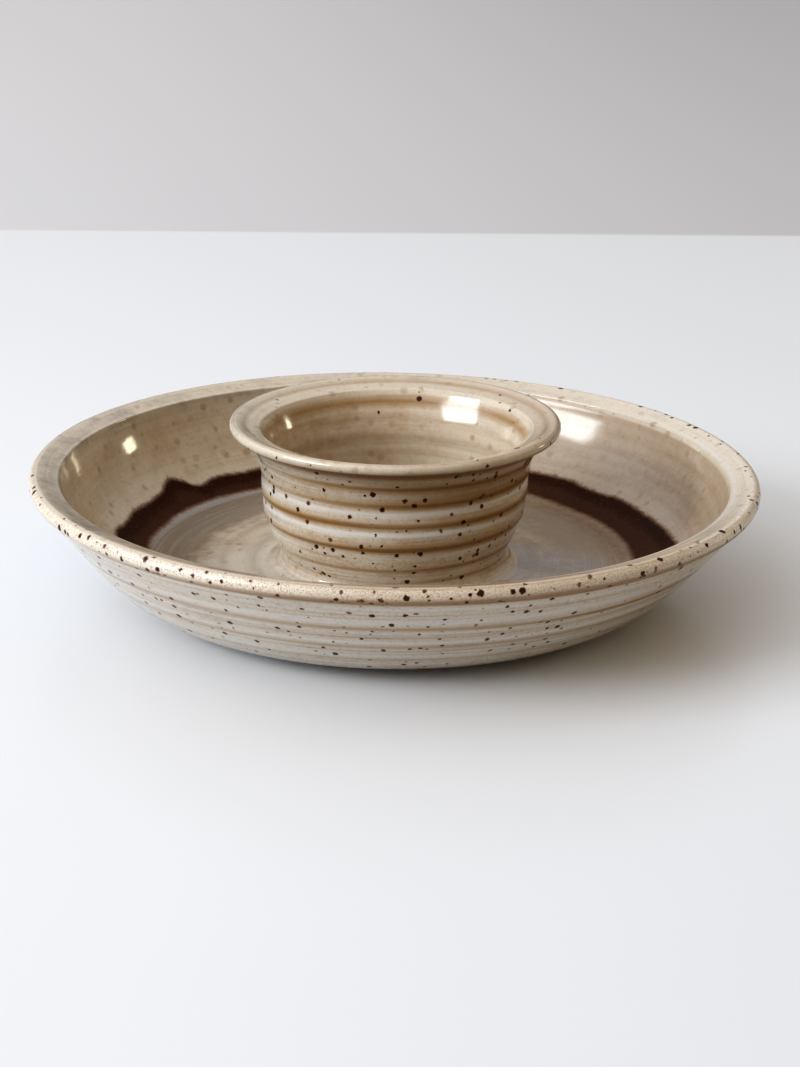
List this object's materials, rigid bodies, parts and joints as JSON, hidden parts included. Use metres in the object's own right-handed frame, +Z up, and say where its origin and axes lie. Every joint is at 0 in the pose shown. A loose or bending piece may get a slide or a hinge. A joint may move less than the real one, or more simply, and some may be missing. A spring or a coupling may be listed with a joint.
{
  "type": "chip and dip server",
  "caption": "Wide round stoneware bowl with a smaller flared bowl fixed upright in the middle of its floor, to serve chips in the ring and dip in the centre.",
  "frame": {"origin": "centre of the foot ring's ground face", "axes": "+Z up along the turning axis of both bowls"},
  "size_m": [0.305, 0.305, 0.075],
  "materials": {
    "chip_bowl_glaze": "semi-gloss oatmeal glaze with iron speckles over stoneware",
    "dip_bowl_glaze": "semi-gloss oatmeal glaze with iron speckles, toasty brown where it thins on the throwing rings",
    "fired_slip": "matte fired clay slip, out of sight",
    "iron_glaze": "semi-gloss dark brown iron glaze, brushed on"
  },
  "bodies": {
    "root": {"chip_bowl": "chip_bowl_glaze", "dip_bowl": "dip_bowl_glaze", "slip_bed": "fired_slip", "luting_coil": "chip_bowl_glaze", "iron_band": "iron_glaze"}
  },
  "joints": []
}
